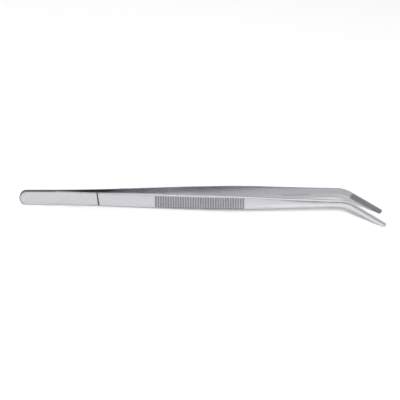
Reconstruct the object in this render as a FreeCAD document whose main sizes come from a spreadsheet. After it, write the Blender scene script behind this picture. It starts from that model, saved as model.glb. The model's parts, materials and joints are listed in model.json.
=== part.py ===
import FreeCAD, Part

import math
import os

import Sketcher
from FreeCAD import Placement, Rotation, Vector

# Long spring tweezers with bent, toothed jaws. Two leaves are welded to a filler at a rounded butt.
#
# Working frame, before the tweezers are stood on the bench: +X runs from the butt to the tips along the
# straight part, the leaves close along Y (front leaf at -Y, rear leaf at +Y) and Z is the width of a leaf.
# The jaws bend down, towards -Z. Every piece is then placed alike, which stands the tweezers on
# the lower corners of both jaws and the lower edge of the butt.

SIDES = {"front": -1, "rear": 1}

# One value of each driving dimension, in millimetres or degrees.
DIMENSIONS = {
    "butt_start": 0.9,
    "butt_length": 31.0,
    "butt_width": 11.9,
    "butt_end_radius": 5.6,
    "butt_leaf_thickness": 1.4,
    "filler_thickness": 1.6,
    "filler_recess": 0.15,
    "butt_edge_bevel": 0.4,
    "spring_length": 34.0,
    "bend_corner": 265.3,
    "bend_radius": 22.0,
    "bend_angle": 31.2,
    "jaw_straight": 31.6,
    "jaw_clearance": 0.12,
    "jaw_corner_radius": 1.5,
    "tooth_pitch": 1.0,
    "tooth_depth": 0.4,
    "teeth_count": 30,
    "teeth_margin": 1.2,
    "rib_pitch": 2.01,
    "rib_count": 36,
    "rib_depth": 0.7,
    "rib_start": 110.8,
    "groove_width": 1.2,
    "groove_depth": 0.5,
    "groove_slant": 5.5,
    "groove_place": 64.8,
    "grip_length": 122.0,
    "shank_length": 72.1,
    "leaf_reach": 40.0,
}

# Cross sections of a leaf, from the weld to the tip. Each has its distance along the leaf, half the gap to
# the other leaf, thickness, width, the bevel's depth and height, and the radius of the crowned outer face.
SECTION_FIELDS = ("along", "gap", "thick", "width", "bevel_depth", "bevel_height", "crown")
SECTIONS = {
    "weld": (31.0, 0.8, 1.4, 11.9, 0.4, 0.4, 600.0),
    "spring": (48.0, 1.7, 1.4, 11.5, 0.4, 0.4, 300.0),
    "notch": (65.0, 2.65, 1.5, 11.2, 0.45, 0.5, 80.0),
    "heel": (84.0, 3.65, 1.95, 11.4, 0.65, 0.85, 70.0),
    "grip_back": (108.0, 5.0, 2.3, 11.6, 0.8, 1.0, 60.0),
    "grip_rear": (132.0, 6.75, 2.4, 11.6, 0.8, 1.0, 60.0),
    "grip_fore": (161.0, 8.25, 2.4, 11.5, 0.8, 1.0, 60.0),
    "grip_front": (186.0, 9.25, 2.4, 10.7, 0.8, 1.0, 50.0),
    "shank_rear": (208.0, 9.8, 2.4, 9.0, 0.9, 1.1, 20.0),
    "shank_mid": (231.0, 10.15, 2.4, 7.4, 1.05, 1.25, 8.0),
    "neck": (249.0, 10.45, 2.4, 6.4, 1.15, 1.3, 6.0),
    "bend_start": (259.1, 10.7, 2.3, 5.8, 1.1, 1.25, 5.0),
    "bend_middle": (265.1, 10.85, 2.2, 5.5, 1.05, 1.2, 4.8),
    "bend_end": (271.1, 11.1, 2.1, 5.25, 1.0, 1.15, 4.6),
}


def number(name):
    """The value of a driving dimension in the sheet."""
    return float(sizes.get(name))


def fill_sheet():
    """Write every driving dimension into the sheet, with its alias."""
    rows = dict(DIMENSIONS)
    for section, values in SECTIONS.items():
        for field, value in zip(SECTION_FIELDS, values):
            rows[f"{section}_{field}"] = value
    rows.update(jaw_rows())
    for row, (name, value) in enumerate(rows.items(), start=1):
        sizes.set(f"A{row}", name)
        sizes.set(f"B{row}", str(value))
        sizes.setAlias(f"B{row}", name)


def jaw_rows():
    """The jaw's sections: its inner face slants so that the two jaws are parallel when they close."""
    straight = DIMENSIONS["jaw_straight"]
    start = dict(zip(SECTION_FIELDS, SECTIONS["bend_end"]))
    turn = math.radians(DIMENSIONS["bend_angle"])
    hinge = DIMENSIONS["butt_length"] + DIMENSIONS["spring_length"] / 2
    tangent = DIMENSIONS["bend_radius"] * math.tan(turn / 2)
    jaw_start = DIMENSIONS["bend_corner"] + tangent * math.cos(turn)
    closing_slope = (start["gap"] - DIMENSIONS["jaw_clearance"]) / (jaw_start - hinge)
    rise = closing_slope * math.cos(turn)
    rows = {"closing_slope": closing_slope, "jaw_rise": rise}
    ends = {"jaw_middle": (0.5, 1.9, 4.75, 0.85, 1.0, 4.0), "tip": (1.0, 1.6, 4.15, 0.7, 0.8, 3.4)}
    for name, (share, *rest) in ends.items():
        along = start["along"] + share * straight
        gap = start["gap"] + share * straight * rise
        for field, value in zip(SECTION_FIELDS, (along, gap, *rest)):
            rows[f"{name}_{field}"] = value
    return rows


def leaf_path(along):
    """The place in the XZ plane, and the downward angle, of a point that far along a leaf."""
    turn = math.radians(number("bend_angle"))
    radius = number("bend_radius")
    tangent = radius * math.tan(turn / 2)
    start = number("bend_corner") - tangent
    if along <= start:
        return along, 0.0, 0.0
    angle = min((along - start) / radius, turn)
    beyond = along - start - radius * angle
    place_x = start + radius * math.sin(angle) + beyond * math.cos(angle)
    place_z = -radius * (1 - math.cos(angle)) - beyond * math.sin(angle)
    return place_x, place_z, math.degrees(angle)


def origin_plane(body, role):
    return next(item for item in body.Origin.OriginFeatures if item.Role == role)


def new_sketch(body, name, role, offset):
    sketch = body.newObject("Sketcher::SketchObject", name)
    sketch.AttachmentSupport = [(origin_plane(body, role), "")]
    sketch.MapMode = "FlatFace"
    sketch.AttachmentOffset = offset
    return sketch


def add_outline(sketch, points):
    """A closed outline of straight lines."""
    corners = [Vector(across, up, 0) for across, up in points]
    for index, corner in enumerate(corners):
        sketch.addGeometry(Part.LineSegment(corner, corners[(index + 1) % len(corners)]), False)


def leaf_section(body, section, side):
    """One cross section of a leaf: flat inside, two bevels and a crowned outer face."""
    along, gap, thick, width, depth, height, crown = (
        number(f"{section}_{field}") for field in SECTION_FIELDS
    )
    place_x, place_z, angle = leaf_path(along)
    # The section is symmetric in Z, so half a turn about the leaf's own line puts it on the other side.
    turn = Rotation(Vector(1, 0, 0), angle) * Rotation(Vector(0, 0, 1), 0 if side > 0 else 180)
    sketch = new_sketch(body, f"{section}_section", "YZ_Plane", Placement(Vector(0, place_z, place_x), turn))
    top_in = Vector(gap, width / 2, 0)
    top_out = Vector(gap + thick - depth, width / 2, 0)
    face_top = Vector(gap + thick, width / 2 - height, 0)
    face_bottom = Vector(gap + thick, height - width / 2, 0)
    low_out = Vector(gap + thick - depth, -width / 2, 0)
    low_in = Vector(gap, -width / 2, 0)
    half_chord = width / 2 - height
    bulge = crown - math.sqrt(crown ** 2 - half_chord ** 2)
    apex = Vector(gap + thick + bulge, 0, 0)
    sketch.addGeometry(Part.LineSegment(top_in, top_out), False)
    sketch.addGeometry(Part.LineSegment(top_out, face_top), False)
    sketch.addGeometry(Part.Arc(face_top, apex, face_bottom), False)
    sketch.addGeometry(Part.LineSegment(face_bottom, low_out), False)
    sketch.addGeometry(Part.LineSegment(low_out, low_in), False)
    sketch.addGeometry(Part.LineSegment(low_in, top_in), False)
    # An arc through three points runs anticlockwise in its sketch, so it starts at the bottom.
    sketch.addConstraint(
        [
            Sketcher.Constraint("Coincident", 0, 2, 1, 1),
            Sketcher.Constraint("Coincident", 1, 2, 2, 2),
            Sketcher.Constraint("Coincident", 2, 1, 3, 1),
            Sketcher.Constraint("Coincident", 3, 2, 4, 1),
            Sketcher.Constraint("Coincident", 4, 2, 5, 1),
            Sketcher.Constraint("Coincident", 5, 2, 0, 1),
            Sketcher.Constraint("Symmetric", 0, 1, 4, 2, -1),
            Sketcher.Constraint("Symmetric", 0, 2, 4, 1, -1),
            Sketcher.Constraint("Symmetric", 1, 2, 3, 1, -1),
            Sketcher.Constraint("Horizontal", 0),
        ]
    )
    driven = {
        "gap": ("DistanceX", -1, 1, 0, 1, gap, "gap"),
        "edge": ("DistanceX", 0, 1, 0, 2, thick - depth, "thick - sizes.{0}_bevel_depth"),
        "width": ("DistanceY", 4, 2, 0, 1, width, "width"),
        "thick": ("DistanceX", 0, 1, 1, 2, thick, "thick"),
        "bevel": ("DistanceY", 1, 2, 1, 1, height, "bevel_height"),
    }
    for name, (kind, *points, value, cell) in driven.items():
        index = sketch.addConstraint(Sketcher.Constraint(kind, *points, value))
        sketch.renameConstraint(index, name)
        sketch.setExpression(f"Constraints.{name}", f"sizes.{section}_" + cell.format(section))
    index = sketch.addConstraint(Sketcher.Constraint("Radius", 2, crown))
    sketch.renameConstraint(index, "crown")
    sketch.setExpression("Constraints.crown", f"sizes.{section}_crown")
    return sketch


def outer_face_y(shape, place_x, side):
    """How far out the outer face of a leaf is, halfway up its width, at one place along X."""
    probe = Part.makeLine(Vector(place_x, 0, 0), Vector(place_x, side * number("leaf_reach"), 0))
    return max(side * vertex.Y for vertex in shape.common(probe).Vertexes)


def cut_pocket(body, sketch, name, length):
    """A pocket through both sides of its sketch, checked to take material away."""
    before = body.Shape.Volume
    pocket = body.newObject("PartDesign::Pocket", name)
    pocket.Profile = sketch
    pocket.SideType = "Symmetric"
    pocket.Length = length
    document.recompute()
    if body.Shape.Volume >= before:
        raise RuntimeError(f"{name} cut nothing")
    return pocket


def make_leaf(side_name, side):
    """The whole leaf from the weld to the tip, with its groove, grip ribs and jaw teeth."""
    body = document.addObject("PartDesign::Body", f"{side_name}_leaf")
    sections = {name: leaf_section(body, name, side) for name in [*SECTIONS, "jaw_middle", "tip"]}
    names = list(sections)
    bend = names.index("bend_start")
    jaw = names.index("bend_end")
    stretches = {"strip": names[: bend + 1], "bend": names[bend : jaw + 1], "jaw": names[jaw:]}
    for stretch, chosen in stretches.items():
        loft = body.newObject("PartDesign::AdditiveLoft", stretch)
        loft.Profile = sections[chosen[0]]
        loft.Sections = [sections[name] for name in chosen[1:]]
        loft.Ruled = stretch == "jaw"
        document.recompute()
    round_jaw_end(body)
    cut_teeth(body, side)
    cut_ribs(body, side)
    cut_groove(body, side)
    return body


def round_jaw_end(body):
    """Round the two corners of the jaw's end, seen face on."""
    place_x, place_z, angle = leaf_path(number("tip_along"))
    offset = Placement(Vector(place_x, place_z, 0), Rotation(Vector(0, 0, 1), -angle))
    sketch = new_sketch(body, "end_profile", "XZ_Plane", offset)
    half = number("tip_width") / 2
    radius = number("jaw_corner_radius")
    diagonal = radius * (1 - math.sqrt(0.5))
    for up in (-1, 1):
        side_end = Vector(-radius, up * half, 0)
        face_end = Vector(0, up * (half - radius), 0)
        middle = Vector(-diagonal, up * (half - diagonal), 0)
        beyond = [Vector(1, face_end.y, 0), Vector(1, up * (half + 1), 0), Vector(-radius, up * (half + 1), 0)]
        sketch.addGeometry(Part.Arc(side_end, middle, face_end), False)
        for first, last in zip([face_end, *beyond], [*beyond, side_end]):
            sketch.addGeometry(Part.LineSegment(first, last), False)
    cut_pocket(body, sketch, "jaw_corners", number("leaf_reach"))


def cut_teeth(body, side):
    """V-grooves straight across the inner face of the jaw."""
    pitch = number("tooth_pitch")
    place_x, place_z, angle = leaf_path(number("bend_end_along") + number("teeth_margin"))
    gap = number("bend_end_gap") + number("teeth_margin") * number("jaw_rise")
    slant = side * math.degrees(math.atan(number("jaw_rise")))
    turn = Rotation(Vector(0, 1, 0), angle) * Rotation(Vector(0, 0, 1), slant)
    offset = Placement(Vector(place_x, side * gap, place_z), turn)
    sketch = new_sketch(body, "tooth_profile", "XY_Plane", offset)
    # The rear teeth sit half a pitch along from the front teeth, so that the closed jaws mesh.
    start = pitch / 2 if side > 0 else 0.0
    depth = number("tooth_depth")
    mouth = pitch * 0.48
    add_outline(
        sketch,
        [
            (start - mouth, -side * 0.1 * depth),
            (start + mouth, -side * 0.1 * depth),
            (start, side * depth),
        ],
    )
    pocket = cut_pocket(body, sketch, "tooth_gap", number("tip_width") * 4)
    before = body.Shape.Volume
    pattern = body.newObject("PartDesign::LinearPattern", "teeth")
    pattern.Originals = [pocket]
    pattern.Direction = (sketch, ["H_Axis"])
    pattern.setExpression("Length", "sizes.tooth_pitch * (sizes.teeth_count - 1)")
    pattern.Occurrences = int(number("teeth_count"))
    body.Tip = pattern
    document.recompute()
    if body.Shape.Volume >= before:
        raise RuntimeError("the teeth's pattern cut nothing")


def cut_ribs(body, side):
    """Grip ribs: deep V-grooves across the outer face, from the lower edge up to the upper bevel."""
    pitch = number("rib_pitch")
    depth = number("rib_depth")
    top = number("grip_fore_width") / 2 - number("grip_fore_bevel_height")
    bottom = -number("grip_fore_width") / 2 - 1
    offset = Placement(Vector(0, 0, (top + bottom) / 2), Rotation())
    sketch = new_sketch(body, "rib_profile", "XY_Plane", offset)
    blank = body.Shape
    for index in range(int(number("rib_count"))):
        centre = number("rib_start") + (index + 0.5) * pitch
        before = outer_face_y(blank, centre - pitch / 2, side)
        after = outer_face_y(blank, centre + pitch / 2, side)
        floor = (before + after) / 2 - depth
        mouth = pitch * 0.47
        root = pitch * 0.06
        add_outline(
            sketch,
            [
                (centre - mouth, side * before),
                (centre - mouth, side * (before + 1)),
                (centre + mouth, side * (after + 1)),
                (centre + mouth, side * after),
                (centre + root, side * floor),
                (centre - root, side * floor),
            ],
        )
    cut_pocket(body, sketch, "rib_gaps", top - bottom)


def cut_groove(body, side):
    """The groove across the outer face where the springy stretch ends. Its top leans to the butt."""
    place = number("groove_place")
    offset = Placement(Vector(place, 0, 0), Rotation(Vector(0, 1, 0), -number("groove_slant")))
    sketch = new_sketch(body, "groove_profile", "XY_Plane", offset)
    face = outer_face_y(body.Shape, place, side)
    half = number("groove_width") / 2
    depth = number("groove_depth")
    add_outline(
        sketch,
        [
            (-half, side * (face - depth * 0.1)),
            (-half, side * (face + 1)),
            (half, side * (face + 1)),
            (half, side * (face - depth * 0.1)),
            (half * 0.5, side * (face - depth)),
            (-half * 0.5, side * (face - depth)),
        ],
    )
    cut_pocket(body, sketch, "groove", number("butt_width") * 2)


def cut_piece(leaf, label, start, end):
    """One stretch of a leaf as an object of its own, between two planes across it."""
    span = document.addObject("Part::Box", f"{label}_span")
    span.Length = end - start
    span.Width = 60
    span.Height = 80
    span.Placement = Placement(Vector(start, -30, -50), Rotation())
    piece = document.addObject("Part::Common", label)
    piece.Base = leaf
    piece.Tool = span
    piece.Label = label
    return piece


def butt_profile(body, name, inset):
    """The outline of the butt in the XZ plane: a strip with one rounded end."""
    sketch = new_sketch(body, name, "XZ_Plane", Placement())
    length = number("butt_length")
    half = number("butt_width") / 2 - inset
    radius = number("butt_end_radius") - inset
    left = number("butt_start") + inset
    flat = half - radius
    diagonal = radius * math.sqrt(0.5)
    top_arc = Vector(left + radius - diagonal, flat + diagonal, 0)
    low_arc = Vector(left + radius - diagonal, -flat - diagonal, 0)
    sketch.addGeometry(Part.LineSegment(Vector(length, half, 0), Vector(left + radius, half, 0)), False)
    sketch.addGeometry(Part.Arc(Vector(left + radius, half, 0), top_arc, Vector(left, flat, 0)), False)
    sketch.addGeometry(Part.LineSegment(Vector(left, flat, 0), Vector(left, -flat, 0)), False)
    sketch.addGeometry(Part.Arc(Vector(left, -flat, 0), low_arc, Vector(left + radius, -half, 0)), False)
    sketch.addGeometry(Part.LineSegment(Vector(left + radius, -half, 0), Vector(length, -half, 0)), False)
    sketch.addGeometry(Part.LineSegment(Vector(length, -half, 0), Vector(length, half, 0)), False)
    return sketch


def make_filler():
    """The filler plate between the welded ends, a little smaller than they are."""
    body = document.addObject("PartDesign::Body", "butt_filler")
    body.Label = "butt_filler"
    pad = body.newObject("PartDesign::Pad", "plate")
    pad.Profile = butt_profile(body, "outline", number("filler_recess"))
    pad.SideType = "Symmetric"
    pad.setExpression("Length", "sizes.filler_thickness")
    return body


def make_butt(side_name, side):
    """The welded end of one leaf, with a small bevel round its outer face."""
    label = f"{side_name}_leaf_butt"
    body = document.addObject("PartDesign::Body", label)
    body.Label = label
    sketch = butt_profile(body, "outline", 0.0)
    sketch.AttachmentOffset = Placement(Vector(0, 0, -side * number("filler_thickness") / 2), Rotation())
    pad = body.newObject("PartDesign::Pad", "plate")
    pad.Profile = sketch
    pad.Reversed = side > 0
    pad.setExpression("Length", "sizes.butt_leaf_thickness")
    document.recompute()
    outer = max(body.Shape.Faces, key=lambda face: side * face.CenterOfMass.y)
    weld_end = number("butt_length")
    edges = []
    for index, edge in enumerate(body.Shape.Edges, start=1):
        on_face = any(edge.isSame(other) for other in outer.Edges)
        if on_face and edge.CenterOfMass.x < weld_end - 0.01:
            edges.append(f"Edge{index}")
    bevel = body.newObject("PartDesign::Chamfer", "bevel")
    bevel.Base = (pad, edges)
    bevel.setExpression("Size", "sizes.butt_edge_bevel")
    return body


def lowest(points, angle):
    """The lowest height of some points after the tweezers are tilted by an angle in radians."""
    return min(point.x * math.sin(angle) + point.z * math.cos(angle) for point in points)


def standing_placement(pieces):
    """Tilt the tweezers until butt and jaws rest together, with the origin under the middle of the box."""
    clouds = {piece.Label: piece.Shape.tessellate(0.01)[0] for piece in pieces}
    butt = clouds["front_leaf_butt"]
    jaw = clouds["front_leaf_jaw"]
    low, high = 0.0, math.radians(10)
    for _ in range(40):
        tilt = (low + high) / 2
        if lowest(jaw, tilt) < lowest(butt, tilt):
            low = tilt
        else:
            high = tilt
    turn = Rotation(Vector(0, 1, 0), -math.degrees(tilt))
    turned = [turn.multVec(point) for cloud in clouds.values() for point in cloud]
    spread = [point.x for point in turned]
    floor = min(point.z for point in turned)
    return Placement(Vector(-(min(spread) + max(spread)) / 2, 0, -floor), turn)


def check_and_export(pieces):
    for item in document.Objects:
        if "Invalid" in item.State or "Error" in item.State:
            raise RuntimeError(f"{item.Label} failed: {item.State}")
    os.makedirs("parts", exist_ok=True)
    for piece in pieces:
        shape = piece.Shape
        if shape.isNull() or not shape.isValid() or len(shape.Solids) != 1:
            raise RuntimeError(f"{piece.Label} is not one valid solid")
        shape.exportStep(f"parts/{piece.Label}.step")
        print(f"{piece.Label}: {shape.Volume:.1f} mm3")


document = FreeCAD.newDocument("tweezers")
sizes = document.addObject("Spreadsheet::Sheet", "sizes")
fill_sheet()
document.recompute()

stretches = {}
start = number("butt_length")
for stretch in ("spring", "grip", "shank"):
    stretches[stretch] = (start, start + number(f"{stretch}_length"))
    start += number(f"{stretch}_length")
stretches["jaw"] = (start, number("tip_along") + 10)

kept = [make_filler()]
for side_name, side in SIDES.items():
    leaf = make_leaf(side_name, side)
    kept.append(make_butt(side_name, side))
    for stretch, (first, last) in stretches.items():
        kept.append(cut_piece(leaf, f"{side_name}_leaf_{stretch}", first, last))
document.recompute()

standing = standing_placement(kept)
for piece in kept:
    piece.Placement = standing
document.recompute()
check_and_export(kept)

hinge_x = number("butt_length") + number("spring_length") / 2
hinge_y = number("spring_gap") + number("spring_thick") / 2
for side_name, side in SIDES.items():
    print(f"{side_name} hinge at", standing.multVec(Vector(hinge_x, side * hinge_y, 0)))
print("hinge axis", standing.Rotation.multVec(Vector(0, 0, 1)))
print("closing angle in degrees", math.degrees(math.atan(number("closing_slope"))))
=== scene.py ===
"""Bent-tip spring tongs of tweezer form: two satin steel leaves welded to a filler at a rounded butt."""

import json
import math
from types import SimpleNamespace

import bpy
import numpy as np
from mathutils import Matrix, Vector


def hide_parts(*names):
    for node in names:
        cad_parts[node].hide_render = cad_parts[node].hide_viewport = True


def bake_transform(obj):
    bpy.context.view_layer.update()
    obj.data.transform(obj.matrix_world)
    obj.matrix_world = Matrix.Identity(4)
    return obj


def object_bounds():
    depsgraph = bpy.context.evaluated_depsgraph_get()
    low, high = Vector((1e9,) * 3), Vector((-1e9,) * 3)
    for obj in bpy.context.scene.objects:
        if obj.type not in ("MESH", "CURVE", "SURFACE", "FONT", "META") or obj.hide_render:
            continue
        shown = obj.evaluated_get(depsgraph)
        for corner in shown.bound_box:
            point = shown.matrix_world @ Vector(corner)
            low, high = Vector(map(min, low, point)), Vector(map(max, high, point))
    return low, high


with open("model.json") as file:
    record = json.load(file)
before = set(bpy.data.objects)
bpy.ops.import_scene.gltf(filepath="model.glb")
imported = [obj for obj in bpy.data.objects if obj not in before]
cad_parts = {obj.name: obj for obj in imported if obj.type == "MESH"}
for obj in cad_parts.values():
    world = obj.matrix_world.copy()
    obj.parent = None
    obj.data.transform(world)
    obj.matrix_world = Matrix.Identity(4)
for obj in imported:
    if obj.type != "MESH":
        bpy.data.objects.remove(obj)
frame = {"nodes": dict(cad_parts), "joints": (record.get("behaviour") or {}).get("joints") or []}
cad_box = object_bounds()

MM = 0.001

# ---------------------------------------------------------------------------------------------------
# The leaf frame: "along" runs from the butt to the jaws, "across" is the closing direction and "up" is
# the width of a leaf. Both hinges lie in the middle of the springy stretch, between the weld's end and
# the groove. Lengths are in millimetres and angles in degrees, apart from those of the row frame.
# ---------------------------------------------------------------------------------------------------
WELD_END = 31.0
SPRING_END = 65.0
HINGE_ALONG = (WELD_END + SPRING_END) / 2
JOINTS = {joint["child"]: joint for joint in frame["joints"]}
UP = Vector(JOINTS["front_arm"]["axis"]).normalized()
ACROSS = Vector((0, 1, 0))
ALONG = ACROSS.cross(UP)
HINGE = Vector(JOINTS["front_arm"]["pos_m"])
START = HINGE - ALONG * HINGE_ALONG * MM - ACROSS * HINGE.y

SIDES = {"front": -1, "rear": 1}

BUTT_START = 0.9
BUTT_RADIUS = 5.6
BEND_CORNER = 265.3
BEND_RADIUS = 22.0
BEND_ANGLE = 31.2
JAW_END = 302.7
JAW_CORNER = 1.5
RIBS_START, RIB_PITCH, RIB_COUNT, RIB_DEPTH = 110.8, 2.01, 36, 0.7
RIB_CREST, RIB_ROOT = 0.06, 0.88
TEETH_START, TOOTH_PITCH, TEETH_COUNT, TOOTH_DEPTH = 272.3, 1.0, 30, 0.4
GROOVE_PLACE, GROOVE_WIDTH, GROOVE_DEPTH, GROOVE_SLANT = 64.8, 1.2, 0.5, 5.5

# Cross sections of a leaf: distance along it, half the gap, thickness, width, the bevel's depth and
# height, and how far the outer face is crowned.
SECTIONS = np.array(
    [
        (0.9, 0.8, 1.4, 11.9, 0.4, 0.4, 0.0),
        (25.0, 0.8, 1.4, 11.9, 0.4, 0.4, 0.0),
        (31.0, 0.8, 1.4, 11.9, 0.4, 0.4, 0.03),
        (48.0, 1.7, 1.4, 11.5, 0.4, 0.4, 0.05),
        (65.0, 2.65, 1.5, 11.2, 0.45, 0.5, 0.16),
        (84.0, 3.65, 1.95, 11.4, 0.65, 0.85, 0.17),
        (108.0, 5.0, 2.3, 11.6, 0.8, 1.0, 0.19),
        (132.0, 6.75, 2.4, 11.6, 0.8, 1.0, 0.19),
        (161.0, 8.25, 2.4, 11.5, 0.8, 1.0, 0.19),
        (186.0, 9.25, 2.4, 10.7, 0.8, 1.0, 0.19),
        (208.0, 9.8, 2.4, 9.0, 0.9, 1.1, 0.29),
        (231.0, 10.15, 2.4, 7.4, 1.05, 1.25, 0.38),
        (249.0, 10.45, 2.4, 6.4, 1.15, 1.3, 0.31),
        (259.1, 10.7, 2.3, 5.8, 1.1, 1.25, 0.28),
        (265.1, 10.85, 2.2, 5.5, 1.05, 1.2, 0.26),
        (271.1, 11.1, 2.1, 5.25, 1.0, 1.15, 0.24),
        (286.9, 11.767, 1.9, 4.75, 0.85, 1.0, 0.24),
        (302.7, 12.433, 1.6, 4.15, 0.7, 0.8, 0.25),
    ]
)
# Radii of a section's corners, and how much of its half width a bevel may take at the rounded ends.
EDGE_RADIUS = 0.14
RIDGE_RADIUS = 0.16
BEVEL_LIMIT = 0.9

# Points of a section nearer to its face than this share of the bevel's depth count as on the face.
FACE_SHARE = 0.9

# How far below the upper bevel the ribs start, and over what height they reach their full depth.
RIB_TOP_MARGIN = 0.15
RIB_RUN_OUT = 0.35

# Where the tone of a leaf changes: the dull rim of the butt, the painted dark lines of shade along the
# lower ridge and round the butt's end, the band of the top edge that takes a painted highlight, and the
# depth from which a point isn't on the inside.
RIM_DEPTH, RIM_HEIGHT = 0.06, 0.05
RIDGE_BAND = 0.18
END_LINE, END_FADE = 1.5, 2.5
TOP_BAND = 0.16
INSIDE_DEPTH = 0.1

# Painted light on a leaf: how much the painted shade on its inside fades towards its edges, and where
# painted light grows along it. The lower half of its outer face gets a painted highlight, brighter from the
# ribs to the jaw, and the lower ridge a painted dark line.
INSIDE_SHADE_EDGE_FADE = 0.6
PAINTED_LIGHT_START, PAINTED_LIGHT_GROWTH = 170.0, 55.0
LOW_HIGHLIGHT_TOP = 0.2
LOW_BEVEL_HIGHLIGHT = 0.5
INSIDE_HIGHLIGHT = 0.8
# Shares at places along a leaf: how much of the painted shade on its inside is lifted, and how strong the
# painted highlight on its top edge is.
UNSHADED_INSIDE = ((72, 90, 119, 150), (0, 0.45, 0.6, 0))
TOP_EDGE_HIGHLIGHT = ((75, 85), (0, 0.9))


def smooth_rows(table, places):
    """Each column of the table at each place, on monotone cubic curves through its rows."""
    knots = table[:, 0]
    step = np.diff(knots)
    columns = []
    for values in table[:, 1:].T:
        slope = np.diff(values) / step
        tangent = np.empty(len(knots))
        tangent[0], tangent[-1] = slope[0], slope[-1]
        flat = slope[:-1] * slope[1:] <= 0
        weight = (2 * step[1:] + step[:-1], step[1:] + 2 * step[:-1])
        with np.errstate(divide="ignore", invalid="ignore"):
            mean = (weight[0] + weight[1]) / (weight[0] / slope[:-1] + weight[1] / slope[1:])
        tangent[1:-1] = np.where(flat, 0.0, mean)
        span = np.clip(np.searchsorted(knots, places, side="right") - 1, 0, len(step) - 1)
        width = step[span]
        t = (places - knots[span]) / width
        columns.append(
            (1 + 2 * t) * (1 - t) ** 2 * values[span]
            + t * (1 - t) ** 2 * width * tangent[span]
            + t * t * (3 - 2 * t) * values[span + 1]
            + t * t * (t - 1) * width * tangent[span + 1]
        )
    return np.stack(columns, axis=1)


def path_point(along):
    """Place and downward turn of the leaf's middle line at a distance along it."""
    turn = math.radians(BEND_ANGLE)
    start = BEND_CORNER - BEND_RADIUS * math.tan(turn / 2)
    if along <= start:
        return along, 0.0, 0.0
    angle = min((along - start) / BEND_RADIUS, turn)
    beyond = along - start - BEND_RADIUS * angle
    place = start + BEND_RADIUS * math.sin(angle) + beyond * math.cos(angle)
    drop = -BEND_RADIUS * (1 - math.cos(angle)) - beyond * math.sin(angle)
    return place, drop, angle


def row_frame(along, across, up):
    """A point of the leaf frame, in millimetres, as a point of the row frame in metres."""
    return START + (ALONG * along + ACROSS * across + UP * up) * MM


# Steps between stations along a leaf, how far the close ones reach past the relief, and the space between
# two stretches of different steps.
PLAIN_STEP, SHANK_STEP, GROOVE_STEP = 0.8, 0.6, 0.1
STEPS_ON_A_RIB, STEPS_ON_A_TOOTH = 12, 8
STEPS_ROUND_BUTT, STEPS_ROUND_JAW = 30, 14
NEAR_GROOVE, NEAR_RIBS, NEAR_TEETH = 2.2, 1.0, 0.8
SEAM = 0.2
SMALLEST_STEP = 0.01


def stations():
    """Distances along a leaf: close together where the outline or the relief changes quickly."""
    butt_turn = np.linspace(0, math.pi / 2, STEPS_ROUND_BUTT)
    jaw_turn = np.linspace(0, math.pi / 2, STEPS_ROUND_JAW)
    ribs_end = RIBS_START + RIB_PITCH * RIB_COUNT
    teeth_end = TEETH_START + TOOTH_PITCH * TEETH_COUNT
    spans = [
        BUTT_START + BUTT_RADIUS * (1 - np.cos(butt_turn)),
        np.arange(BUTT_START + BUTT_RADIUS + PLAIN_STEP, GROOVE_PLACE - NEAR_GROOVE - SEAM, PLAIN_STEP),
        np.arange(GROOVE_PLACE - NEAR_GROOVE, GROOVE_PLACE + NEAR_GROOVE, GROOVE_STEP),
        np.arange(GROOVE_PLACE + NEAR_GROOVE + SEAM, RIBS_START - NEAR_RIBS - SEAM, PLAIN_STEP),
        np.arange(RIBS_START - NEAR_RIBS, ribs_end + NEAR_RIBS, RIB_PITCH / STEPS_ON_A_RIB),
        np.arange(ribs_end + NEAR_RIBS + SEAM, TEETH_START - NEAR_TEETH - SEAM, SHANK_STEP),
        np.arange(TEETH_START - NEAR_TEETH, teeth_end, TOOTH_PITCH / STEPS_ON_A_TOOTH),
        JAW_END - JAW_CORNER * (1 - np.sin(jaw_turn)),
    ]
    places = np.unique(np.round(np.concatenate(spans), 4))
    return places[np.concatenate([[True], np.diff(places) > SMALLEST_STEP])]


def half_width(along, width, inset=0.0):
    """Half a leaf's width, with the rounded butt and the rounded corners of the jaw's end."""
    half = width / 2
    to_centre = BUTT_START + BUTT_RADIUS - along
    if to_centre > 0:
        return half - BUTT_RADIUS + math.sqrt(max((BUTT_RADIUS - inset) ** 2 - to_centre ** 2, 0))
    into_corner = along - (JAW_END - JAW_CORNER)
    if into_corner > 0:
        return half - JAW_CORNER + math.sqrt(max(JAW_CORNER ** 2 - into_corner ** 2, 0))
    return half


def rounded(corners, radii, steps=3):
    """A closed outline with each corner replaced by a short arc."""
    points = []
    count = len(corners)
    for index, corner in enumerate(corners):
        before, after = corners[index - 1] - corner, corners[(index + 1) % count] - corner
        room = min(np.linalg.norm(before), np.linalg.norm(after)) * 0.45
        before, after = before / np.linalg.norm(before), after / np.linalg.norm(after)
        reach = min(radii[index], room)
        first, last = corner + before * reach, corner + after * reach
        for step in range(steps + 1):
            t = step / steps
            points.append((1 - t) ** 2 * first + 2 * t * (1 - t) * corner + t * t * last)
    return points


OUTLINE_RADII = (EDGE_RADIUS, EDGE_RADIUS, RIDGE_RADIUS, RIDGE_RADIUS, EDGE_RADIUS, EDGE_RADIUS)
OUTER_POINTS = 16
INNER_POINTS = 6
SHAPE_FIELDS = ("gap", "thick", "width", "depth", "height", "crown")


def section_shape(along, row):
    """The measures of a leaf's section, with its half width and half the height of its outer face."""
    shape = SimpleNamespace(**dict(zip(SHAPE_FIELDS, row)))
    shape.face = shape.gap + shape.thick
    shape.half = half_width(along, shape.width)
    shape.rounded_end = along < BUTT_START + BUTT_RADIUS
    if shape.rounded_end:
        # The bevel runs round the butt's end, so it takes more of the width of each section there.
        shape.thick -= max(shape.depth - (along - BUTT_START), 0)
        shape.height = shape.half - half_width(along, shape.width, shape.depth)
    shape.height = min(shape.height, shape.half * BEVEL_LIMIT)
    shape.flat = shape.half - shape.height
    return shape


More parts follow.
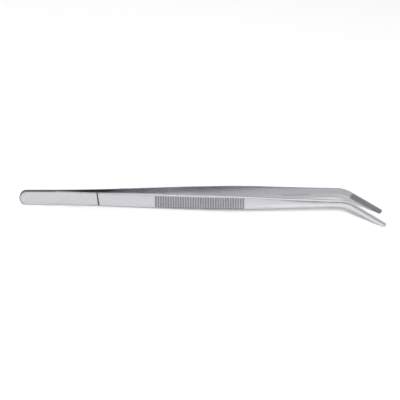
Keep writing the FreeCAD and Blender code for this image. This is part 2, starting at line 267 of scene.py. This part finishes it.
def section_outline(shape):
    """A section as (out from the middle plane, up) points in order, starting at the inner top edge."""
    outside = shape.gap + shape.thick
    corners = [
        np.array((shape.gap, shape.half)),
        np.array((outside - shape.depth, shape.half)),
        np.array((outside, shape.flat)),
        np.array((outside, -shape.flat)),
        np.array((outside - shape.depth, -shape.half)),
        np.array((shape.gap, -shape.half)),
    ]
    points = rounded(corners, OUTLINE_RADII)
    ridge_top, ridge_low, inner_low, inner_top = points[11], points[12], points[23], points[0]
    outer = [ridge_top + (ridge_low - ridge_top) * t for t in np.linspace(0, 1, OUTER_POINTS + 2)[1:-1]]
    inner = [inner_low + (inner_top - inner_low) * t for t in np.linspace(0, 1, INNER_POINTS + 2)[1:-1]]
    outline = np.array([*points[:12], *outer, *points[12:], *inner])
    share = np.abs(outline[:, 1]) / shape.flat
    on_face = (outline[:, 0] > outside - shape.depth / 2) & (share < 1)
    outline[on_face, 0] += shape.crown * (1 - share[on_face] ** 2)
    return outline


def rib_cut(along):
    """How deep the grip's ribs are cut at a distance along the leaf, as a share of their depth."""
    into = (along - RIBS_START) / RIB_PITCH
    if not 0 <= into <= RIB_COUNT:
        return 0.0
    from_crest = abs(into - round(into)) * 2
    return min(max(from_crest - RIB_CREST, 0) / (RIB_ROOT - RIB_CREST), 1)


def groove_cut(along, up):
    """How deep the slanted groove is at places up the outer face, as a share of its depth."""
    middle = GROOVE_PLACE - up * math.tan(math.radians(GROOVE_SLANT))
    offset = np.abs(along - middle) / (GROOVE_WIDTH / 2)
    return np.sqrt(np.clip(1 - offset ** 2, 0, 1))


def tooth_cut(along, side):
    """How deep the jaw's teeth are cut: the rear ones sit half a pitch along, so that they mesh."""
    into = (along - TEETH_START) / TOOTH_PITCH - (0.5 if side > 0 else 0.0)
    if not -0.5 <= into <= TEETH_COUNT - 0.5:
        return 0.0
    return 1 - 2 * abs(into - round(into))


def end_line(along, up, width):
    """How near the rounded butt's outline some points of a section are, from 0 to 1 at the outline."""
    to_centre = max(BUTT_START + BUTT_RADIUS - along, 0)
    off_centre = np.maximum(np.abs(up) - (width / 2 - BUTT_RADIUS), 0)
    inside = BUTT_RADIUS - np.hypot(to_centre, off_centre)
    return np.clip(1 - inside / END_LINE, 0, 1) * min(to_centre / END_FADE, 1)


def relief_cuts(side, along, shape, out, up):
    """The ribs, the groove and the teeth at each point of a section, as shares of their depth."""
    on_face = out > shape.gap + shape.thick - shape.depth * FACE_SHARE
    on_inside = out < shape.gap + EDGE_RADIUS / 2
    under_bevel = np.clip((shape.flat - RIB_TOP_MARGIN - up) / RIB_RUN_OUT, 0, 1)
    return SimpleNamespace(
        on_face=on_face,
        rib=on_face * rib_cut(along) * under_bevel,
        groove=on_face * groove_cut(along, up),
        tooth=on_inside * tooth_cut(along, side),
    )


def finish_and_painted_light_masks(along, shape, out, up, cuts):
    """Where the tone differs from that of the outer face, from 0 to 1 at each point of a section: painted
    shade, painted highlights and the butt's dull rim.
    """
    # Painted shade on the inner faces, fading towards their top and bottom edges and lifted at places along
    # the leaf.
    inside = np.clip((shape.gap + EDGE_RADIUS - out) / EDGE_RADIUS, 0, 1)
    unshaded = np.interp(along, *UNSHADED_INSIDE)
    edge_shade_share = 1 - INSIDE_SHADE_EDGE_FADE * np.abs(up / shape.half) ** 3
    on_end = shape.rounded_end & (np.abs(up) > shape.flat - RIM_HEIGHT)
    on_rim = (out < shape.face - RIM_DEPTH) | on_end
    # Painted light grows along the leaf past the ribs: a painted highlight low on the outer face and bevel,
    # and a painted dark line along the lower ridge.
    painted_light_share = np.clip((along - PAINTED_LIGHT_START) / PAINTED_LIGHT_GROWTH, 0, 1)
    on_low_bevel = (up < -shape.flat) & (along > SPRING_END)
    share = np.where(on_low_bevel, max(painted_light_share, LOW_BEVEL_HIGHLIGHT), painted_light_share)
    fade = np.clip((LOW_HIGHLIGHT_TOP * shape.flat - up) / shape.flat, 0, 1)
    low_face = fade * (out > shape.gap + INSIDE_DEPTH) * share
    top = (up > shape.half - TOP_BAND) * np.interp(along, *TOP_EDGE_HIGHLIGHT)
    return {
        "inside": inside * edge_shade_share * (1 - unshaded),
        # Painted shade in the rib valleys and between the teeth.
        "painted_recess_shade": np.sqrt(cuts.rib) + cuts.tooth,
        # Painted shade in the groove.
        "groove": cuts.groove,
        "rim": on_rim * (1.0 if along < WELD_END else 0.0),
        # A painted dark line of shade round the butt's end.
        "end": cuts.on_face * end_line(along, up, shape.width),
        # Painted highlights: the lower outer face and bevel, the top edge band and the lifted part of the
        # inside.
        "painted_highlight": np.maximum.reduce([low_face, top, inside * unshaded * INSIDE_HIGHLIGHT]),
        # A painted dark line of shade along the lower ridge.
        "painted_ridge_shade": (np.abs(up + shape.flat) < RIDGE_BAND) * painted_light_share,
    }


def leaf_sections(side):
    """Every station of a leaf, as points in the leaf frame with its relief cut in, and its masks."""
    places = stations()
    sections = []
    masks = []
    for along, row in zip(places, smooth_rows(SECTIONS, places)):
        shape = section_shape(along, row)
        outline = section_outline(shape)
        out, up = outline[:, 0].copy(), outline[:, 1].copy()
        cuts = relief_cuts(side, along, shape, out, up)
        masks.append(finish_and_painted_light_masks(along, shape, out, up, cuts))
        outline[:, 0] -= cuts.rib * RIB_DEPTH + cuts.groove * GROOVE_DEPTH
        outline[:, 0] += cuts.tooth * TOOTH_DEPTH
        if along in (places[0], places[-1]):
            centre = (outline.min(axis=0) + outline.max(axis=0)) / 2
            outline -= np.clip(outline - centre, -EDGE_RADIUS, EDGE_RADIUS)
        place, drop, angle = path_point(along)
        points = (
            place + outline[:, 1] * math.sin(angle),
            side * outline[:, 0],
            drop + outline[:, 1] * math.cos(angle),
        )
        sections.append(np.stack(points, axis=1))
    merged = {name: np.array([mask[name] for mask in masks]) for name in masks[0]}
    return places, np.array(sections), merged


def mesh_object(name, vertices, faces):
    """A mesh object from points of the row frame, linked to the scene."""
    mesh = bpy.data.meshes.new(name)
    mesh.from_pydata(vertices, [], faces)
    mesh.update()
    piece = bpy.data.objects.new(name, mesh)
    bpy.context.scene.collection.objects.link(piece)
    return piece


def make_leaf(side_name, side):
    """One whole leaf, from the rounded butt to the jaw, as a closed mesh with a UV map along its grain."""
    places, sections, masks = leaf_sections(side)
    rings, around = sections.shape[:2]
    vertices = [row_frame(*point) for point in sections.reshape(-1, 3)]
    faces = []
    for ring in range(rings - 1):
        for step in range(around):
            following = (step + 1) % around
            low, high = ring * around, (ring + 1) * around
            faces.append((low + step, low + following, high + following, high + step))
    faces.append(tuple(range(around))[::-1])
    faces.append(tuple((rings - 1) * around + step for step in range(around)))
    if side < 0:
        faces = [face[::-1] for face in faces]
    leaf = mesh_object(f"{side_name}_leaf", vertices, faces)
    add_grain_map(leaf, places, sections, around)
    for name, mask in masks.items():
        attribute = leaf.data.attributes.new(name, "FLOAT", "POINT")
        attribute.data.foreach_set("value", mask.astype(np.float32).ravel())
    leaf.data.polygons.foreach_set("use_smooth", [True] * len(leaf.data.polygons))
    leaf.data.set_sharp_from_angle(angle=math.radians(50))
    return leaf


def add_grain_map(leaf, places, sections, around):
    """UVs in metres: u along the leaf and v round its section, so that the grain follows the bend."""
    closed = np.concatenate([sections, sections[:, :1]], axis=1)
    lengths = np.linalg.norm(np.diff(closed, axis=1), axis=2)
    girth = np.concatenate([np.zeros((len(sections), 1)), np.cumsum(lengths, axis=1)], axis=1)
    uv_map = leaf.data.uv_layers.new(name="grain")
    for face in leaf.data.polygons:
        steps = [leaf.data.loops[loop].vertex_index % around for loop in face.loop_indices]
        wraps = len(steps) == 4 and {0, around - 1} <= set(steps)
        for loop, step in zip(face.loop_indices, steps):
            ring = leaf.data.loops[loop].vertex_index // around
            column = around if wraps and step == 0 else step
            uv_map.data[loop].uv = (places[ring] * MM, girth[ring, column] * MM)


# ---------------------------------------------------------------------------------------------------
# Materials
# ---------------------------------------------------------------------------------------------------
class Nodes:
    """Adds nodes to one material and links them."""

    def __init__(self, name):
        self.material = bpy.data.materials.new(name)
        self.material.use_nodes = True
        self.tree = self.material.node_tree
        self.shader = self.tree.nodes["Principled BSDF"]

    def add(self, kind, inputs=None, **settings):
        node = self.tree.nodes.new(f"ShaderNode{kind}")
        for key, value in settings.items():
            setattr(node, key, value)
        for key, value in (inputs or {}).items():
            if isinstance(value, bpy.types.NodeSocket):
                self.tree.links.new(value, node.inputs[key])
            else:
                node.inputs[key].default_value = value
        return node

    def noise(self, source, scale, detail=4.0, roughness=0.6, turn=0.0):
        """Noise on coordinates stretched by a scale for each axis, turned by an angle in degrees first."""
        mapping = self.add(
            "Mapping", {"Vector": source, "Rotation": (0, 0, math.radians(turn)), "Scale": scale}
        )
        texture = self.add(
            "TexNoise",
            {"Vector": mapping.outputs[0], "Scale": 1.0, "Detail": detail, "Roughness": roughness},
        )
        return texture.outputs["Fac"]

    def spread(self, value, low, high, to_low, to_high):
        """A value's range from low to high, clamped and carried to another range."""
        node = self.add(
            "MapRange",
            {"Value": value, "From Min": low, "From Max": high, "To Min": to_low, "To Max": to_high},
        )
        return node.outputs[0]

    def maths(self, operation, first, second):
        return self.add("Math", {0: first, 1: second}, operation=operation).outputs[0]

    def drive(self, socket, value):
        self.tree.links.new(value, self.shader.inputs[socket])

    def constant(self, socket, value):
        self.shader.inputs[socket].default_value = value


# Noise scales per metre, along the leaf and twice across it, and how far the scratches turn off the grain.
STREAKS = (70, 9000, 9000)
HAIRS = (300, 34000, 34000)
CLOUDS = (38, 95, 95)
SPECKS = (2600, 2600, 2600)
SCRATCHES, SCRATCH_TURN = (110, 15000, 15000), 4.0
CROSS_SCRATCHES, CROSS_TURN = (160, 12000, 12000), -11.0
BUMP_HEIGHT = 0.00002


def steel(name, uv, dark, light, rough, grain_bump):
    """Satin steel brushed along u, or along X without a UV map: streaks, clouds, scratches and specks."""
    nodes = Nodes(name)
    if uv:
        source = nodes.add("UVMap", uv_map="grain").outputs[0]
    else:
        source = nodes.add("TexCoord").outputs["Object"]
    streaks = nodes.noise(source, STREAKS)
    hairs = nodes.noise(source, HAIRS, detail=2.0)
    clouds = nodes.noise(source, CLOUDS, detail=3.0)
    scratch = nodes.noise(source, SCRATCHES, detail=1.0, turn=SCRATCH_TURN)
    cross_scratch = nodes.noise(source, CROSS_SCRATCHES, detail=1.0, turn=CROSS_TURN)
    specks = nodes.noise(source, SPECKS, detail=2.0)
    marks = nodes.maths(
        "MAXIMUM",
        nodes.spread(scratch, 0.69, 0.75, 0.0, 1.0),
        nodes.spread(cross_scratch, 0.72, 0.78, 0.0, 1.0),
    )
    grain = nodes.maths("ADD", nodes.maths("MULTIPLY", streaks, 0.65), nodes.maths("MULTIPLY", hairs, 0.35))
    cloudy = nodes.spread(clouds, 0.3, 0.7, 0.0, 0.4)
    shade = nodes.maths("ADD", nodes.spread(grain, 0.3, 0.7, 0.0, 0.6), cloudy)
    shade = nodes.maths("SUBTRACT", shade, nodes.spread(specks, 0.72, 0.8, 0.0, 0.35))
    colour = nodes.add("Mix", {0: shade, 6: dark, 7: light}, data_type="RGBA").outputs[2]
    rim = 0.0
    if uv:
        rim = nodes.add("Attribute", attribute_name="rim").outputs["Fac"]
        # Painted shade and painted highlights from the leaf's masks, and the butt's dull rim, mixed into
        # the colour.
        for mask, amount, tone in TONES:
            masked = nodes.add("Attribute", attribute_name=mask).outputs["Fac"]
            share = nodes.maths("MULTIPLY", masked, amount)
            colour = nodes.add("Mix", {0: share, 6: colour, 7: tone}, data_type="RGBA").outputs[2]
    nodes.drive("Base Color", colour)
    base = nodes.spread(grain, 0.25, 0.75, rough - 0.06, rough + 0.06)
    hazy = nodes.maths("ADD", base, nodes.spread(clouds, 0.35, 0.65, -0.02, 0.05))
    hazy = nodes.maths("ADD", hazy, nodes.maths("MULTIPLY", rim, 0.15))
    nodes.drive("Roughness", nodes.maths("ADD", hazy, nodes.maths("MULTIPLY", marks, 0.12)))
    height = nodes.maths("SUBTRACT", grain, nodes.maths("MULTIPLY", marks, 0.8))
    bump = nodes.add("Bump", {"Height": height, "Strength": grain_bump, "Distance": BUMP_HEIGHT})
    nodes.drive("Normal", bump.outputs[0])
    nodes.constant("Metallic", 1.0)
    if uv:
        tangent = nodes.add("Tangent", direction_type="UV_MAP", uv_map="grain")
        nodes.drive("Tangent", tangent.outputs[0])
        nodes.constant("Anisotropic", LEAF_ANISOTROPY)
    return nodes.material


LEAF_ANISOTROPY = 0.5
LEAF_DARK = (0.528, 0.522, 0.555, 1)
LEAF_LIGHT = (0.638, 0.632, 0.668, 1)
# Tones of painted shade and of a painted highlight; the violet grey also darkens the butt's dull rim.
VIOLET_GREY = (0.158, 0.15, 0.19, 1)
BLUE_GREY = (0.14, 0.152, 0.178, 1)
SHADE_BLACK = (0.02, 0.02, 0.024, 1)
HIGHLIGHT_WHITE = (0.97, 0.97, 1.0, 1)
# Where a leaf's tone differs from that of its outer face: the mask, how strongly, and towards which tone.
# All are painted shade or a painted highlight, apart from the butt's dull rim.
TONES = (
    ("inside", 0.42, VIOLET_GREY),
    ("painted_recess_shade", 0.68, BLUE_GREY),
    ("end", 0.8, SHADE_BLACK),
    ("painted_highlight", 0.5, HIGHLIGHT_WHITE),
    ("painted_ridge_shade", 0.45, BLUE_GREY),
    ("rim", 0.58, VIOLET_GREY),
    ("groove", 0.95, SHADE_BLACK),
)
FILLER_DARK = (0.31, 0.31, 0.325, 1)
FILLER_LIGHT = (0.44, 0.44, 0.455, 1)
leaf_steel = steel("satin_steel", True, LEAF_DARK, LEAF_LIGHT, 0.27, 0.35)
filler_steel = steel("ground_weld_steel", False, FILLER_DARK, FILLER_LIGHT, 0.42, 0.5)

for side_name, side in SIDES.items():
    leaf = make_leaf(side_name, side)
    leaf.data.materials.append(leaf_steel)
    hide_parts(*(name for name in frame["nodes"] if name.startswith(f"{side_name}_leaf")))
    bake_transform(leaf)

filler = frame["nodes"]["butt_filler"]
filler.data.materials.clear()
filler.data.materials.append(filler_steel)

# ---------------------------------------------------------------------------------------------------
# Floor, light and camera
# ---------------------------------------------------------------------------------------------------
FLOOR_HALF = 3.0
PAPER_DARK = (0.87, 0.87, 0.87, 1)
PAPER_LIGHT = (0.91, 0.91, 0.91, 1)
floor = mesh_object(
    "floor",
    [(x * FLOOR_HALF, y * FLOOR_HALF, cad_box[0].z) for x, y in ((-1, -1), (1, -1), (1, 1), (-1, 1))],
    [(0, 1, 2, 3)],
)
paper = Nodes("pale_paper")
fibres = paper.noise(paper.add("TexCoord").outputs["Object"], (900, 900, 900), detail=5.0)
paper_tone = paper.add("Mix", {0: fibres, 6: PAPER_DARK, 7: PAPER_LIGHT}, data_type="RGBA")
paper.drive("Base Color", paper_tone.outputs[2])
paper.constant("Roughness", 0.95)
paper.constant("Specular IOR Level", 0.0)
floor.data.materials.append(paper.material)

# The studio's brightness runs with the height of a direction plus SKY_BACK_SHARE of its way to the back.
# It is dim low in front, brightest halfway up, and dim again high at the back. Light that falls on the
# floor from it is dimmed, which keeps the shadows deep, and the camera itself sees white.
SKY = ((0.0, 0.26), (0.05, 0.36), (0.2, 0.6), (0.45, 0.9), (0.65, 0.8), (0.88, 0.45), (1.0, 0.15))
SKY_BACK_SHARE = 0.5
SKY_DIMMED_ON_FLOOR = 0.6


def make_world():
    world = bpy.data.worlds.new("studio")
    world.use_nodes = True
    nodes, links = world.node_tree.nodes, world.node_tree.links
    background, output = nodes["Background"], nodes["World Output"]
    direction = nodes.new("ShaderNodeSeparateXYZ")
    links.new(nodes.new("ShaderNodeTexCoord").outputs["Generated"], direction.inputs[0])
    height = nodes.new("ShaderNodeMath")
    height.operation = "MULTIPLY_ADD"
    height.inputs[1].default_value = SKY_BACK_SHARE
    links.new(direction.outputs["Y"], height.inputs[0])
    links.new(direction.outputs["Z"], height.inputs[2])
    ramp = nodes.new("ShaderNodeValToRGB")
    stops = ramp.color_ramp.elements
    while len(stops) < len(SKY):
        stops.new(0.5)
    for stop, (place, level) in zip(stops, SKY):
        stop.position = place
        stop.color = (level, level, level, 1)
    links.new(height.outputs[0], ramp.inputs[0])
    links.new(ramp.outputs[0], background.inputs["Color"])
    white = nodes.new("ShaderNodeBackground")
    either = nodes.new("ShaderNodeMixShader")
    white.inputs["Color"].default_value = (1, 1, 1, 1)
    ray = nodes.new("ShaderNodeLightPath")
    links.new(ray.outputs["Is Camera Ray"], either.inputs[0])
    dimmed = nodes.new("ShaderNodeMath")
    dimmed.operation = "MULTIPLY_ADD"
    dimmed.inputs[1].default_value = -SKY_DIMMED_ON_FLOOR
    dimmed.inputs[2].default_value = 1.0
    links.new(ray.outputs["Is Diffuse Ray"], dimmed.inputs[0])
    links.new(dimmed.outputs[0], background.inputs["Strength"])
    links.new(background.outputs[0], either.inputs[1])
    links.new(white.outputs[0], either.inputs[2])
    links.new(either.outputs[0], output.inputs["Surface"])
    return world


bpy.context.scene.world = make_world()
bpy.context.scene.view_settings.view_transform = "Standard"

VIEW_ELEVATION = 25.0
VIEW_DISTANCE = 1.0
# The width of the view at the tongs, and its middle as a place along the leaf and a height above its line.
VIEW_WIDTH = 324.86
VIEW_ALONG, VIEW_UP = 147.4, -2.26


def camera_turn(elevation):
    """Axes of a camera that looks at the leaves' faces from above: right, up and back."""
    tilt = math.radians(elevation)
    back = UP * math.sin(tilt) - ACROSS * math.cos(tilt)
    above = UP * math.cos(tilt) + ACROSS * math.sin(tilt)
    return ALONG, above, back


def facing(thing, right, above, back):
    """Turn a camera or a light so that it looks along the reverse of back."""
    thing.rotation_euler = Matrix((right, above, back)).transposed().to_euler()


camera = bpy.data.objects.new("camera", bpy.data.cameras.new("camera"))
bpy.context.scene.collection.objects.link(camera)
bpy.context.scene.camera = camera
right, above, back = camera_turn(VIEW_ELEVATION)
target = row_frame(VIEW_ALONG, 0, 0) + above * VIEW_UP * MM
camera.location = target + back * VIEW_DISTANCE
facing(camera, right, above, back)
camera.data.sensor_width = 36.0
camera.data.lens = camera.data.sensor_width * VIEW_DISTANCE / (VIEW_WIDTH * MM)
camera.data.clip_start, camera.data.clip_end = 0.1, 20.0


def area_light(name, elevation, distance, size, power, shines_in_steel=True):
    """A soft square light aimed at the tongs, in front of them below 90 degrees and behind them above."""
    light = bpy.data.objects.new(name, bpy.data.lights.new(name, "AREA"))
    bpy.context.scene.collection.objects.link(light)
    light_right, light_above, light_back = camera_turn(elevation)
    light.location = target + light_back * distance
    facing(light, light_right, light_above, light_back)
    light.data.size = size
    light.data.energy = power
    light.visible_glossy = shines_in_steel
    return light


area_light("key", elevation=30.5, distance=6.4, size=0.8, power=580, shines_in_steel=False)
area_light("behind", elevation=110, distance=1.6, size=1.6, power=9, shines_in_steel=False)
area_light("overhead", elevation=55, distance=1.6, size=1.0, power=1.2)
